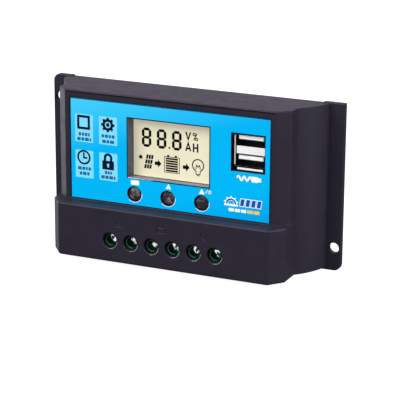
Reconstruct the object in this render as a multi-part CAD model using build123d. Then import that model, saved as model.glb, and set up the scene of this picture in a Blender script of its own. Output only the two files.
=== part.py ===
from build123d import *

import os

os.makedirs("parts", exist_ok=True)

# Solar charge controller in a wall-mounted case, in millimetres.
# X runs along the case to the right, Y into the wall and Z up. The origin is the centre of the
# rear mounting plane, so every front face lies at a negative Y.

# ---- driving dimensions of the case ---------------------------------------------------------
WIDTH = 133.5  # over the two mounting flanges
HEIGHT = 71.0  # of the mounting flanges
DEPTH = 35.0  # wall to the front of the terminal section
DISPLAY_DEPTH = 28.0  # wall to the front of the display section
WALL = 2.0  # moulded wall thickness
TOP_BACK = 35.0  # the flanges stand half a millimetre above the back of the body
TOP_FRONT = 35.8  # the top rises a little towards the front
BODY_BOTTOM = -34.4
LEDGE_Z = -11.2  # top of the terminal section
EDGE_ROUND = 0.5  # rounding of the display section's upper edge
LEDGE_ROUND = 0.8  # rounding of the terminal section's upper edge
BASE_ROUND = 1.1  # rounding of the lower edge

DISPLAY_FLAT_X = 47.2  # half width of the display section's flat front
DISPLAY_SIDE_X = 52.2  # half width over its bevelled corners
DISPLAY_SIDE_Y = -23.4  # where the bevels meet the sides
DISPLAY_BEND = 1.2  # radius where the bevels meet the front
TERMINAL_FLAT_X = 47.5  # half width of the terminal section's flat front
TERMINAL_SIDE_X = 52.8  # half width over its bevelled corners
TERMINAL_SIDE_Y = -28.5  # where these bevels meet the sides
TERMINAL_BEND = 1.8  # radius where they meet the front
SKIRT_Y = -17.0  # where the sides start to flare out
SKIRT_MIDDLE = (56.8, -11.3)  # a point half way round the flare
SKIRT_X = 60.2  # half width where the flare meets the flange

FLANGE_THICKNESS = 2.3
FLANGE_ROOT_X = 57.5  # inner end of the raised part of the flange
FLANGE_CORNER = 3.0
FLANGE_HOLE_X = 63.6  # holes: upper left and lower right, half a turn apart
FLANGE_HOLE_Z = 25.7
FLANGE_HOLE_R = 2.25

# ---- openings in the front ------------------------------------------------------------------
LABEL_CENTRE = (0.2, 10.9)  # X and Z
LABEL_SIZE = (90.0, 43.0)
LABEL_THICKNESS = 0.25
LABEL_POCKET = 0.3
LABEL_GAP = 0.35
LCD_CENTRE = (0.2, 13.75)
LCD_WINDOW = (36.8, 25.1)
LCD_SKIRT = 1.2  # thickness of the collar behind the window
LCD_FACE_Y = -22.4  # front of the display glass
USB_CENTRE = (35.5, 17.5)
USB_WINDOW = (15.0, 16.0)
BUTTON_PITCH = 15.24
BUTTON_Z = -5.7
BUTTON_HOLE_R = 3.3
POLE_PITCH = 9.5
POLE_COUNT = 6
POLE_CENTRE_X = 0.4
SCREW_Z = -25.0
SCREW_HOLE_R = 3.25
WIRE_WINDOW = 7.0
WIRE_Y = -18.5  # middle of a wire window

# ---- depths of the inside -------------------------------------------------------------------
BACK_PLATE_Y = -1.5  # front of the aluminium back plate
PCB_Y = (-13.5, -11.9)
PCB_X = 48.3
PCB_Z = (-31.6, 32.4)
PCB_POST_X = 44.5
PCB_POST_UPPER_Z = 28.9
PCB_POST_LOWER_Z = -28.3
PCB_POST_R = 3.0
BACK_BOSS_X = 53.0
BACK_BOSS_Z = 28.5
BACK_BOSS_R = 2.8
BACK_BOSS_Y = (-12.0, BACK_PLATE_Y)
FRONT_INNER_Y = -DISPLAY_DEPTH + WALL
TERMINAL_INNER_Y = -DEPTH + WALL

# ---- terminal block -------------------------------------------------------------------------
BLOCK_X = 29.4
BLOCK_Y = (-32.5, PCB_Y[0])
BLOCK_Z = (-32.3, -17.2)
RECESS_R = 2.6  # screwdriver recess
RECESS_RIM = 0.25  # chamfer round its mouth
HEAD_R = 2.4
HEAD_Y = (-29.5, -25.3)
HEAD_DOME = 0.7  # rise of the rounded head
SLOT_WIDTH = 0.8
SLOT_DEPTH = 1.3
SHANK_R = 2.0
WEB_Y = (-25.2, -24.4)  # wall between the recess and the clamp chamber
CHAMBER_X = 3.7
CHAMBER_Z = (-30.3, -18.7)
MOUTH_HALF = 2.9  # half width of a wire's way into the chamber
MOUTH_Y = (-21.2, -15.6)
CAGE_X = 3.4
CAGE_Y = (-21.7, -15.1)  # clamp open, low on its screw
CAGE_Z = (-28.0, -22.0)
CAGE_WALL = 1.2
CAGE_SIDE = 0.8
BAR_X = 2.4
BAR_Y = (-20.3, -19.3)
BAR_Z = (-29.4, -19.2)
THREAD_CLEARANCE = 0.05
SLOT_ANGLES = (35, 80, 15, 60, 105, 25)  # the screws rest at odd turns

# ---- buttons --------------------------------------------------------------------------------
CAP_R = 2.8
CAP_FRONT_Y = -27.55
CAP_DOME = 0.45
CAP_COLLAR_R = 3.9
CAP_COLLAR_Y = (-25.7, -24.8)
CAP_STEM_R = 2.5
CAP_REAR_Y = -19.9
PLUNGER_R = 1.7
PLUNGER_Y = (-21.4, -16.0)
SWITCH_HALF = 3.0
SWITCH_FRONT_Y = -17.0
COVER_THICKNESS = 0.3

pole_xs = [POLE_CENTRE_X + POLE_PITCH * (i - (POLE_COUNT - 1) / 2) for i in range(POLE_COUNT)]
button_xs = [BUTTON_PITCH * i for i in (-1, 0, 1)]


# ---- small helpers --------------------------------------------------------------------------
def block(x, y, z):
    """Box between the (low, high) pairs along X, Y and Z."""
    spans = (x, y, z)
    size = [high - low for low, high in spans]
    middle = [(high + low) / 2 for low, high in spans]
    return Pos(*middle) * Box(*size)


def slab(centre, size, y):
    """Box centred on an (X, Z) point, with an (X, Z) size, between two depths."""
    (cx, cz), (sx, sz) = centre, size
    return block((cx - sx / 2, cx + sx / 2), y, (cz - sz / 2, cz + sz / 2))


def rod(radius, y, x=0.0, z=0.0):
    """Cylinder along Y between two depths."""
    low, high = y
    return Pos(x, (low + high) / 2, z) * Rot(90, 0, 0) * Cylinder(radius, high - low)


def domed_rod(radius, y, rise):
    """Cylinder along Y whose front end is rounded by a shallow dome."""
    front, rear = y
    sphere_r = (radius**2 + rise**2) / (2 * rise)
    dome = RadiusArc((0, front), (radius, front + rise), -sphere_r)
    side = Polyline(dome @ 1, (radius, rear), (0, rear), (0, front))
    return revolve(make_face(dome + side), Axis.Y)


def grown(size, margin):
    """An (X, Z) size with the margin added on every side."""
    return (size[0] + 2 * margin, size[1] + 2 * margin)


def group(pieces):
    """Separate solids that share one node."""
    return Compound([solid for piece in pieces for solid in piece.solids()])


def mirrored_face(half):
    """Face enclosed by a right-hand half outline and its mirror image."""
    return make_face(half + mirror(half, about=Plane.YZ))


# ---- case -----------------------------------------------------------------------------------
def skirted_face(wall, back_y):
    """Section of the display half: bevelled front corners, sides and flared skirts.

    wall is how far the outline lies inside the outer surface.
    """
    front_y = -DISPLAY_DEPTH + wall
    bevel = wall * 0.4  # moves each end of the bevel along its own side
    front = FilletPolyline(
        (0, front_y),
        (DISPLAY_FLAT_X - bevel, front_y),
        (DISPLAY_SIDE_X - wall, DISPLAY_SIDE_Y + bevel),
        (DISPLAY_SIDE_X - wall + 0.3, SKIRT_Y + wall * 0.3),
        radius=DISPLAY_BEND,
    )
    middle_x, middle_y = SKIRT_MIDDLE
    skirt = ThreePointArc(
        front @ 1,
        (middle_x - wall * 0.8, middle_y + wall * 0.55),
        (SKIRT_X - wall, -FLANGE_THICKNESS),
    )
    side = Line(skirt @ 1, (SKIRT_X - wall, back_y))
    back = Line(side @ 1, (0, back_y))
    return mirrored_face(front + skirt + side + back)


def terminal_face(wall, back_y):
    """Section of the terminal half: flat front, bevelled front corners and straight sides."""
    front_y = -DEPTH + wall
    side_x = TERMINAL_SIDE_X - wall
    bevel = wall * 0.4  # moves each end of the bevel along its own side
    front = FilletPolyline(
        (0, front_y),
        (TERMINAL_FLAT_X - bevel, front_y),
        (side_x, TERMINAL_SIDE_Y + bevel),
        radius=TERMINAL_BEND,
    )
    side = Line(front @ 1, (side_x, back_y))
    back = Line(side @ 1, (0, back_y))
    return mirrored_face(front + side + back)


def prism(face, z):
    """Section in the XY plane extruded between two heights."""
    low, high = z
    return extrude(Pos(0, 0, low) * face, amount=high - low)


def sloped_prism(face, bottom, wall):
    """Section extruded up to the sloping top, which wall lowers for the inner surface."""
    front_y = -DISPLAY_DEPTH
    slope = (TOP_BACK - TOP_FRONT) / DISPLAY_DEPTH
    beyond = 5.0
    above = TOP_FRONT + beyond
    outline = Polyline(
        (front_y - beyond, TOP_FRONT - wall - slope * beyond),
        (beyond, TOP_BACK - wall + slope * beyond),
        (beyond, above),
        (front_y - beyond, above),
        close=True,
    )
    wedge = extrude(Plane.YZ * make_face(outline), amount=WIDTH, both=True)
    return prism(face, (bottom, TOP_FRONT + 1)) - wedge


def round_ends(body, top_radius, bottom_radius):
    """Rounds the edges of the top and bottom faces, in front of the skirts."""
    for end, radius in ((-1, top_radius), (0, bottom_radius)):
        edges = body.faces().sort_by(Axis.Z)[end].edges()
        body = fillet([e for e in edges if e.center().Y < SKIRT_Y - 0.5], radius)
    return body


def flange():
    """Right-hand flange with its hole; its lower outer corner is rounded."""
    plate = block((FLANGE_ROOT_X, WIDTH / 2), (-FLANGE_THICKNESS, 0), (-HEIGHT / 2, HEIGHT / 2))
    edges = plate.edges().filter_by(Axis.Y).group_by(Axis.X)[-1]
    plate = fillet(edges.sort_by(Axis.Z)[0], FLANGE_CORNER)
    outline = plate.faces().sort_by(Axis.Y)[0].edges()
    outline = [e for e in outline if e.center().X > FLANGE_ROOT_X + 0.1]
    plate = fillet(outline, 0.4)
    hole = rod(FLANGE_HOLE_R, (-FLANGE_THICKNESS - 1, 1), FLANGE_HOLE_X, -FLANGE_HOLE_Z)
    return plate - hole


def case_body():
    """Outside of the case, still solid, with both flanges."""
    display = sloped_prism(skirted_face(0, 0), BODY_BOTTOM, 0)
    display = round_ends(display, EDGE_ROUND, BASE_ROUND)
    terminal = prism(terminal_face(0, SKIRT_Y), (BODY_BOTTOM, LEDGE_Z))
    terminal = round_ends(terminal, LEDGE_ROUND, BASE_ROUND)
    right = flange()
    left = Rot(0, 180, 0) * right
    return display + terminal + right + left


def case_cavity():
    """Space inside the case, open at the back."""
    floor_z = BODY_BOTTOM + WALL
    display = sloped_prism(skirted_face(WALL, 1), floor_z, WALL)
    terminal = prism(terminal_face(WALL, SKIRT_Y), (floor_z, LEDGE_Z - WALL))
    return display + terminal


def case_posts():
    """Collar of the display window, posts for the board and bosses for the back plate."""
    collar_y = (FRONT_INNER_Y - 0.5, LCD_FACE_Y - 0.1)
    collar = slab(LCD_CENTRE, grown(LCD_WINDOW, LCD_SKIRT), collar_y)
    posts = [collar]
    for side in (-1, 1):
        x = side * PCB_POST_X
        posts.append(rod(PCB_POST_R, (FRONT_INNER_Y - 0.5, PCB_Y[0]), x, PCB_POST_UPPER_Z))
        posts.append(rod(PCB_POST_R, (TERMINAL_INNER_Y - 0.5, PCB_Y[0]), x, PCB_POST_LOWER_Z))
        for level in (-1, 1):
            posts.append(rod(BACK_BOSS_R, BACK_BOSS_Y, side * BACK_BOSS_X, level * BACK_BOSS_Z))
    return posts


def screw_holes(radius, depth):
    """Pilot holes for the board screws and the back plate screws."""
    holes = []
    for side in (-1, 1):
        for z in (PCB_POST_UPPER_Z, PCB_POST_LOWER_Z):
            holes.append(rod(radius, (PCB_Y[0] - depth, PCB_Y[0] + 1), side * PCB_POST_X, z))
        for level in (-1, 1):
            boss = (side * BACK_BOSS_X, level * BACK_BOSS_Z)
            holes.append(rod(radius, (BACK_PLATE_Y - depth, BACK_PLATE_Y + 1), *boss))
    return holes


def front_pictograms():
    """Shallow marks above the screw holes: a solar panel, a battery and a lamp."""
    y = (-DEPTH - 1, -DEPTH + 0.2)
    line = 0.35
    z = SCREW_Z + 7.6
    marks = []
    panel_x = (pole_xs[0] + pole_xs[1]) / 2
    for i in range(4):
        marks.append(slab((panel_x - 1.65 + 1.1 * i, z), (line, 2.4), y))
    for i in range(3):
        marks.append(slab((panel_x, z - 1.0 + 1.0 * i), (3.65, line), y))
    battery_x = (pole_xs[2] + pole_xs[3]) / 2
    frame = slab((battery_x, z), (4.0, 2.6), y) - slab((battery_x, z), (3.3, 1.9), (-40, -30))
    marks.append(frame)
    for side in (-1, 1):
        marks.append(slab((battery_x + side * 1.2, z + 1.55), (0.8, 0.5), y))
    lamp_x = (pole_xs[4] + pole_xs[5]) / 2
    marks.append(rod(1.35, y, lamp_x, z + 0.3) - rod(1.0, (-40, -30), lamp_x, z + 0.3))
    marks.append(slab((lamp_x, z - 1.45), (1.2, 0.5), y))
    return marks


def front_case():
    """The one-piece moulded case, open at the back."""
    shell = case_body() - case_cavity()
    shell = shell + case_posts()
    through = (-DEPTH - 1, LCD_FACE_Y)
    cuts = [
        slab(LABEL_CENTRE, grown(LABEL_SIZE, LABEL_GAP), (-DEPTH, -DISPLAY_DEPTH + LABEL_POCKET)),
        slab(LCD_CENTRE, LCD_WINDOW, through),
        slab(USB_CENTRE, USB_WINDOW, through),
    ]
    cuts += [rod(BUTTON_HOLE_R, through, x, BUTTON_Z) for x in button_xs]
    for x in pole_xs:
        cuts.append(rod(SCREW_HOLE_R, (-DEPTH - 1, TERMINAL_INNER_Y + 0.5), x, SCREW_Z))
        cuts.append(
            Pos(x, -DEPTH, SCREW_Z) * Rot(90, 0, 0) * Cone(SCREW_HOLE_R, SCREW_HOLE_R + 0.6, 0.6)
        )
        half = WIRE_WINDOW / 2
        wire_y = (WIRE_Y - half, WIRE_Y + half)
        cuts.append(block((x - half, x + half), wire_y, (BODY_BOTTOM - 1, BODY_BOTTOM + WALL + 0.5)))
    cuts += screw_holes(1.4, 8.5)
    cuts += front_pictograms()
    return shell - cuts


def back_plate():
    """Aluminium plate that closes the back and carries the power parts' heat to the wall."""
    x = SKIRT_X - WALL - 0.2
    z = (BODY_BOTTOM + WALL + 0.2, TOP_BACK - WALL - 0.2)
    plate = block((-x, x), (BACK_PLATE_Y, 0), z)
    plate = fillet(plate.edges().filter_by(Axis.Y), 1.0)
    for side in (-1, 1):
        for level in (-1, 1):
            place = Pos(side * BACK_BOSS_X, 0, level * BACK_BOSS_Z)
            plate -= place * rod(1.6, (-2, 1))
            plate -= place * Pos(0, -0.55, 0) * Rot(90, 0, 0) * Cone(3.0, 1.8, 1.2)
    return plate


def back_plate_screws():
    """Four countersunk cross-head screws."""
    head = Pos(0, -0.6, 0) * Rot(90, 0, 0) * Cone(2.75, 1.5, 1.1)
    screw = head + rod(1.3, (-8.5, -1.1))
    for turn in (0, 90):
        screw -= Rot(0, turn, 0) * block((-1.4, 1.4), (-0.75, 1), (-0.25, 0.25))
    spots = [(x * BACK_BOSS_X, z * BACK_BOSS_Z) for x in (-1, 1) for z in (-1, 1)]
    return group([Pos(x, 0, z) * screw for x, z in spots])


def front_label():
    """Printed overlay in its shallow pocket, cut out for everything behind it."""
    face_y = -DISPLAY_DEPTH + LABEL_POCKET
    y = (face_y - LABEL_THICKNESS, face_y)
    label = slab(LABEL_CENTRE, LABEL_SIZE, y)
    label = fillet(label.edges().filter_by(Axis.Y), 0.6)
    through = (-DEPTH, 0)
    label -= slab(LCD_CENTRE, LCD_WINDOW, through)
    label -= slab(USB_CENTRE, USB_WINDOW, through)
    for x in button_xs:
        label -= rod(BUTTON_HOLE_R + 0.1, through, x, BUTTON_Z)
    return label


# ---- liquid crystal display -----------------------------------------------------------------
LCD_GLASS = (42.0, 30.0)
LCD_GLASS_CENTRE = (0.2, 14.2)
GLASS_THICKNESS = 1.1
FILM_THICKNESS = 0.2
LIGHT_GUIDE_Y = (-19.9, -16.9)
BACKLIGHT_POCKET_Y = -18.5
BACKLIGHT_FRONT_Y = -18.2
HOLDER_WALL = 1.0


def lcd_front_film():
    """Polarising film on the front glass."""
    return slab(LCD_CENTRE, grown(LCD_WINDOW, 1.0), (LCD_FACE_Y, LCD_FACE_Y + FILM_THICKNESS))


def lcd_front_glass():
    """Front glass, shorter than the rear one so that the contacts lie bare."""
    y0 = LCD_FACE_Y + FILM_THICKNESS
    return slab(
        (LCD_GLASS_CENTRE[0], LCD_GLASS_CENTRE[1] - 1.0),
        (LCD_GLASS[0], LCD_GLASS[1] - 2.0),
        (y0, y0 + GLASS_THICKNESS),
    )


def lcd_rear_glass():
    y0 = LCD_FACE_Y + FILM_THICKNESS + GLASS_THICKNESS
    return slab(LCD_GLASS_CENTRE, LCD_GLASS, (y0, y0 + GLASS_THICKNESS))


def lcd_light_guide():
    """White diffusing block behind the glass, with a pocket for each light source."""
    guide = slab(LCD_GLASS_CENTRE, grown(LCD_GLASS, -1.0), LIGHT_GUIDE_Y)
    for x in backlight_xs():
        guide -= block((x - 1.4, x + 1.4), (BACKLIGHT_POCKET_Y, 0), (20.0, 30.0))
    return guide


def backlight_xs():
    return [LCD_CENTRE[0] + 12.0 * i for i in (-1, 0, 1)]


def lcd_holder():
    """Frame that stands on the board and holds the glass and the light guide."""
    frame_y = (LIGHT_GUIDE_Y[0] - 0.6, LIGHT_GUIDE_Y[1] + 1.0)
    outer = grown(LCD_GLASS, -0.2 + HOLDER_WALL)
    holder = slab(LCD_GLASS_CENTRE, outer, frame_y)
    holder -= slab(LCD_GLASS_CENTRE, grown(LCD_GLASS, 0.1), (-30, LIGHT_GUIDE_Y[0]))
    holder -= slab(LCD_GLASS_CENTRE, grown(LCD_GLASS, -0.9), (-30, LIGHT_GUIDE_Y[1]))
    holder -= slab(LCD_GLASS_CENTRE, grown(LCD_GLASS, -5.0), (-30, 0))
    for x in backlight_xs():
        holder -= block((x - 1.6, x + 1.6), (BACKLIGHT_POCKET_Y, 0), (20.0, 28.4))
    cx, cz = LCD_GLASS_CENTRE
    for sx in (-1, 1):
        for sz in (-1, 1):
            foot = (cx + sx * (LCD_GLASS[0] / 2 - 2), cz + sz * (LCD_GLASS[1] / 2 - 2))
            holder += rod(1.4, (frame_y[1] - 0.2, PCB_Y[0]), *foot)
    return holder


def lcd_pins():
    """Row of clip-on pins from the bare edge of the rear glass to the board."""
    z = LCD_GLASS_CENTRE[1] + LCD_GLASS[1] / 2
    glass_y = (LCD_FACE_Y + FILM_THICKNESS + GLASS_THICKNESS, LCD_FACE_Y + 2.4)
    pins = []
    for i in range(16):
        x = LCD_GLASS_CENTRE[0] + 2.2 * (i - 7.5)
        finger = block((x - 0.25, x + 0.25), (glass_y[0] - 0.3, glass_y[0]), (z - 1.4, z + 1.3))
        leg = block((x - 0.25, x + 0.25), (glass_y[0] - 0.3, PCB_Y[1] + 0.8), (z + 1.0, z + 1.3))
        pins.append(finger + leg)
    return group(pins)


# ---- main board and what stands on it -------------------------------------------------------
def main_pcb():
    board = block((-PCB_X, PCB_X), PCB_Y, PCB_Z)
    board = fillet(board.edges().filter_by(Axis.Y), 1.0)
    through = (-20, 0)
    for side in (-1, 1):
        for z in (PCB_POST_UPPER_Z, PCB_POST_LOWER_Z):
            board -= rod(1.7, through, side * PCB_POST_X, z)
    for x in pole_xs:
        board -= block((x - BAR_X - 0.1, x + BAR_X + 0.1), through, (BAR_Z[1] - 1.1, BAR_Z[1] + 0.1))
    pin_z = LCD_GLASS_CENTRE[1] + LCD_GLASS[1] / 2 + 1.15
    for i in range(16):
        x = LCD_GLASS_CENTRE[0] + 2.2 * (i - 7.5)
        board -= rod(0.4, through, x, pin_z)
    for x in button_xs:
        for dx, dz in switch_legs():
            board -= rod(0.5, through, x + dx, BUTTON_Z + dz)
    for x, z in usb_legs():
        board -= rod(0.5, through, x, z)
    for x in mosfet_xs():
        for dx in (-2.54, 0, 2.54):
            board -= rod(0.6, through, x + dx, MOSFET_LEG_Z)
    for x, z in CAPACITOR_SPOTS:
        for dx in (-1.75, 1.75):
            board -= rod(0.5, through, x + dx, z)
    return board


def pcb_screws():
    """Four pan-head cross-head screws that hold the board to the posts."""
    head = Pos(0, PCB_Y[1] + 0.9, 0) * Rot(90, 0, 0) * Cylinder(2.7, 1.8)
    head = fillet(head.faces().sort_by(Axis.Y)[-1].edges(), 0.8)
    screw = head + rod(1.3, (PCB_Y[0] - 7.5, PCB_Y[1]))
    for turn in (0, 90):
        screw -= Rot(0, turn, 0) * block((-1.4, 1.4), (PCB_Y[1] + 0.8, 0), (-0.25, 0.25))
    spots = [(x * PCB_POST_X, z) for x in (-1, 1) for z in (PCB_POST_UPPER_Z, PCB_POST_LOWER_Z)]
    return group([Pos(x, 0, z) * screw for x, z in spots])


# ---- double charging socket -----------------------------------------------------------------
SOCKET_X = 35.8
PORT_SIZE = (12.5, 5.1)
PORT_PITCH = 8.3
UPPER_PORT_Z = 22.6
SHELL_SHEET = 0.35
SHELL_FRONT_Y = -26.7
LIP_Z = (10.2, 11.05)
LIP_TAB_X = 3.5  # the two tabs that carry the lip, either side of the middle
TONGUE_FRONT_Y = -25.6
TONGUE_WIDTH = 10.9
TONGUE_THICKNESS = 1.75
TONGUE_RISE = 0.65  # middle of a tongue above the middle of its port
INSULATOR_Y = (-17.2, PCB_Y[0])
INSULATOR_GAP = 0.05
CONTACT_SHEET = 0.25

port_zs = [UPPER_PORT_Z, UPPER_PORT_Z - PORT_PITCH]


def usb_shell():
    """Sheet-metal shell round both ports, with the web between them and a lip on two tabs."""
    outer_x = PORT_SIZE[0] / 2 + SHELL_SHEET
    top = port_zs[0] + PORT_SIZE[1] / 2 + SHELL_SHEET
    bottom = port_zs[1] - PORT_SIZE[1] / 2 - SHELL_SHEET
    x = (SOCKET_X - outer_x, SOCKET_X + outer_x)
    shell = block(x, (SHELL_FRONT_Y, PCB_Y[0]), (bottom, top))
    for z in port_zs:
        shell -= slab((SOCKET_X, z), PORT_SIZE, (-40, INSULATOR_Y[1]))
    web = (port_zs[1] + PORT_SIZE[1] / 2 + SHELL_SHEET, port_zs[0] - PORT_SIZE[1] / 2 - SHELL_SHEET)
    hollow_x = (x[0] + SHELL_SHEET, x[1] - SHELL_SHEET)
    shell -= block(hollow_x, (SHELL_FRONT_Y + SHELL_SHEET, 0), web)
    lip_y = (SHELL_FRONT_Y, SHELL_FRONT_Y + SHELL_SHEET)
    shell += block((x[0] + 1.1, x[1] - 1.1), lip_y, LIP_Z)
    for side in (-1, 1):
        tab_x = SOCKET_X + side * LIP_TAB_X
        shell += block((tab_x - 0.6, tab_x + 0.6), lip_y, (LIP_Z[0], bottom + 0.1))
    return shell


def usb_insulator():
    """White moulding: a back wall behind each port, and the two tongues."""
    body = []
    for z in port_zs:
        wall = slab((SOCKET_X, z), grown(PORT_SIZE, -INSULATOR_GAP), INSULATOR_Y)
        tongue_y = (TONGUE_FRONT_Y, INSULATOR_Y[0] + 0.5)
        tongue = slab((SOCKET_X, z + TONGUE_RISE), (TONGUE_WIDTH, TONGUE_THICKNESS), tongue_y)
        tongue = chamfer(tongue.faces().sort_by(Axis.Y)[0].edges(), 0.3)
        body.append(wall + tongue)
    return group(body)


def usb_legs():
    """Where the socket's legs pass the board, as (X, Z)."""
    return [(SOCKET_X + dx, z) for z in port_zs for dx in (-3.5, -1.0, 1.0, 3.5)]


def usb_contacts():
    """Four spring contacts under each tongue, with their legs through the board."""
    contacts = []
    for x, z in usb_legs():
        under = z + TONGUE_RISE - TONGUE_THICKNESS / 2
        strip_y = (TONGUE_FRONT_Y + 1.2, INSULATOR_Y[0])
        contacts.append(block((x - 0.5, x + 0.5), strip_y, (under - CONTACT_SHEET, under)))
        contacts.append(rod(0.35, (PCB_Y[0], PCB_Y[1] + 1.0), x, z))
    return group(contacts)


# ---- terminals ------------------------------------------------------------------------------
def terminal_block():
    """Six-pole moulded block; each pole has a screw recess, a clamp chamber and a wire mouth."""
    body = block((POLE_CENTRE_X - BLOCK_X, POLE_CENTRE_X + BLOCK_X), BLOCK_Y, BLOCK_Z)
    front = body.faces().sort_by(Axis.Y)[0].edges()
    body = fillet(front, 0.4)
    for x in pole_xs:
        body -= rod(RECESS_R, (BLOCK_Y[0] - 1, WEB_Y[0]), x, SCREW_Z)
        rim = Cone(RECESS_R, RECESS_R + 2 * RECESS_RIM, 2 * RECESS_RIM)
        body -= Pos(x, BLOCK_Y[0], SCREW_Z) * Rot(90, 0, 0) * rim
        body -= rod(SHANK_R + 0.3, (WEB_Y[0] - 1, WEB_Y[1] + 1), x, SCREW_Z)
        body -= block((x - CHAMBER_X, x + CHAMBER_X), (WEB_Y[1], 0), CHAMBER_Z)
        mouth_z = (BLOCK_Z[0] - 1, CHAMBER_Z[0] + 1)
        body -= block((x - MOUTH_HALF, x + MOUTH_HALF), MOUTH_Y, mouth_z)
    return body


def terminal_bars():
    """Brass bars that the wires are clamped against, each with a foot through the board."""
    bars = []
    for x in pole_xs:
        tongue = block((x - BAR_X, x + BAR_X), BAR_Y, BAR_Z)
        foot = block((x - BAR_X, x + BAR_X), (BAR_Y[0], PCB_Y[1] + 1.2), (BAR_Z[1] - 1.0, BAR_Z[1]))
        bars.append(tongue + foot)
    return group(bars)


def clamp_screw(x, slot_angle):
    """Slotted screw with a rounded head; it stays in place while it lifts the clamp cage."""
    screw = domed_rod(HEAD_R, HEAD_Y, HEAD_DOME)
    screw += rod(SHANK_R, (HEAD_Y[1] - 0.1, BAR_Y[0] - 0.1))
    slot = slab((0, 0), (HEAD_R * 3, SLOT_WIDTH), (HEAD_Y[0] - 1, HEAD_Y[0] + SLOT_DEPTH))
    return Pos(x, 0, SCREW_Z) * (screw - Rot(0, slot_angle, 0) * slot)


def clamp_cage(x):
    """Square cage with the screw's nut in its front wall and the wire's way through it."""
    cage = block((x - CAGE_X, x + CAGE_X), CAGE_Y, CAGE_Z)
    cage = fillet(cage.edges().filter_by(Axis.Z), 0.5)
    inner_y = (CAGE_Y[0] + CAGE_WALL, CAGE_Y[1] - CAGE_WALL)
    half = CAGE_X - CAGE_SIDE
    cage -= block((x - half, x + half), inner_y, (-40, 0))
    cage -= rod(SHANK_R + THREAD_CLEARANCE, (CAGE_Y[0] - 1, inner_y[0] + 0.5), x, SCREW_Z)
    return cage


# ---- push buttons ---------------------------------------------------------------------------
def button_cap(x):
    """Cap with a shallow domed front, a retaining collar and a stem with a plunger socket."""
    cap = domed_rod(CAP_R, (CAP_FRONT_Y, CAP_COLLAR_Y[1]), CAP_DOME)
    cap += rod(CAP_COLLAR_R, CAP_COLLAR_Y)
    cap += rod(CAP_STEM_R, (CAP_COLLAR_Y[1] - 0.1, CAP_REAR_Y))
    cap -= rod(PLUNGER_R, (PLUNGER_Y[0], 0))
    return Pos(x, 0, BUTTON_Z) * cap


def switch_plunger(x):
    plunger = rod(PLUNGER_R, PLUNGER_Y)
    plunger = chamfer(plunger.faces().sort_by(Axis.Y)[-1].edges(), 0.3)
    return Pos(x, 0, BUTTON_Z) * plunger


def switch_legs():
    """Leg places of a push switch, from its centre, as (X, Z)."""
    return [(dx, dz) for dx in (-3.25, 3.25) for dz in (-2.25, 2.25)]


def switch_bodies():
    """Black bases of the three push switches, with the plunger's well."""
    bodies = []
    for x in button_xs:
        half = SWITCH_HALF
        base = block((x - half, x + half), (SWITCH_FRONT_Y, PCB_Y[0]), (BUTTON_Z - half, BUTTON_Z + half))
        bodies.append(base - rod(2.1, (-20, -14.9), x, BUTTON_Z))
    return group(bodies)


def switch_covers():
    """Steel cover plates of the push switches."""
    covers = []
    for x in button_xs:
        y = (SWITCH_FRONT_Y - COVER_THICKNESS, SWITCH_FRONT_Y)
        plate = slab((x, BUTTON_Z), (2 * SWITCH_HALF + 0.2, 2 * SWITCH_HALF + 0.2), y)
        covers.append(plate - rod(PLUNGER_R + 0.25, (-20, 0), x, BUTTON_Z))
    return group(covers)


def switch_domes():
    """Snap domes that return the buttons and give them their click."""
    radius, rise, sheet = 1.95, 0.45, 0.1
    outer_r = (radius**2 + rise**2) / (2 * rise)
    domes = []
    for x in button_xs:
        centre = Pos(x, -14.9 - rise + outer_r, BUTTON_Z)
        cap = centre * Sphere(outer_r) & rod(radius, (-16, -14.9), x, BUTTON_Z)
        domes.append(cap - centre * Sphere(outer_r - sheet))
    return group(domes)


def switch_pins():
    pins = []
    for x in button_xs:
        for dx, dz in switch_legs():
            foot = block(
                (x + min(dx, dx * 0.95), x + max(dx, dx * 0.95)),
                (PCB_Y[0] - 1.5, PCB_Y[1] + 1.0),
                (BUTTON_Z + dz - 0.3, BUTTON_Z + dz + 0.3),
            )
            pins.append(foot)
    return group(pins)


# ---- power parts between the board and the back plate ---------------------------------------
CAPACITOR_SPOTS = [(-34.0, 22.0), (-34.0, 11.0)]
INDUCTOR_SPOT = (36.0, -3.5)
POWER_DIODE_XS = (-40.0, -31.0, 37.0)
POWER_DIODE_Z = -12.0
SHUNT_X = (15.5, 30.5)
SHUNT_Z = (-14.0, -10.0)
REGULATOR_SPOT = (22.0, 26.0)
DRIVER_SPOTS = [(-33.0, -2.5), (26.0, 2.5)]
MOSFET_PITCH = 14.0
MOSFET_COUNT = 4
MOSFET_LEG_Z = 0.0
PAD_THICKNESS = 0.5
TAB_Y = (BACK_PLATE_Y - PAD_THICKNESS - 1.3, BACK_PLATE_Y - PAD_THICKNESS)


def mosfet_xs():
    return [MOSFET_PITCH * (i - (MOSFET_COUNT - 1) / 2) - 8.0 for i in range(MOSFET_COUNT)]


def mosfet_bodies():
    """Moulded bodies of the four power transistors."""
    bodies = []
    for x in mosfet_xs():
        bodies.append(block((x - 5.0, x + 5.0), (TAB_Y[0] - 3.1, TAB_Y[0]), (4.0, 13.0)))
    return group(bodies)


def mosfet_tabs():
    """Metal tabs that lie on the thermal pad."""
    tabs = []
    for x in mosfet_xs():
        tab = block((x - 5.0, x + 5.0), TAB_Y, (4.0, 19.0))
        tabs.append(tab - rod(1.9, (-10, 0), x, 16.0))
    return group(tabs)


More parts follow.
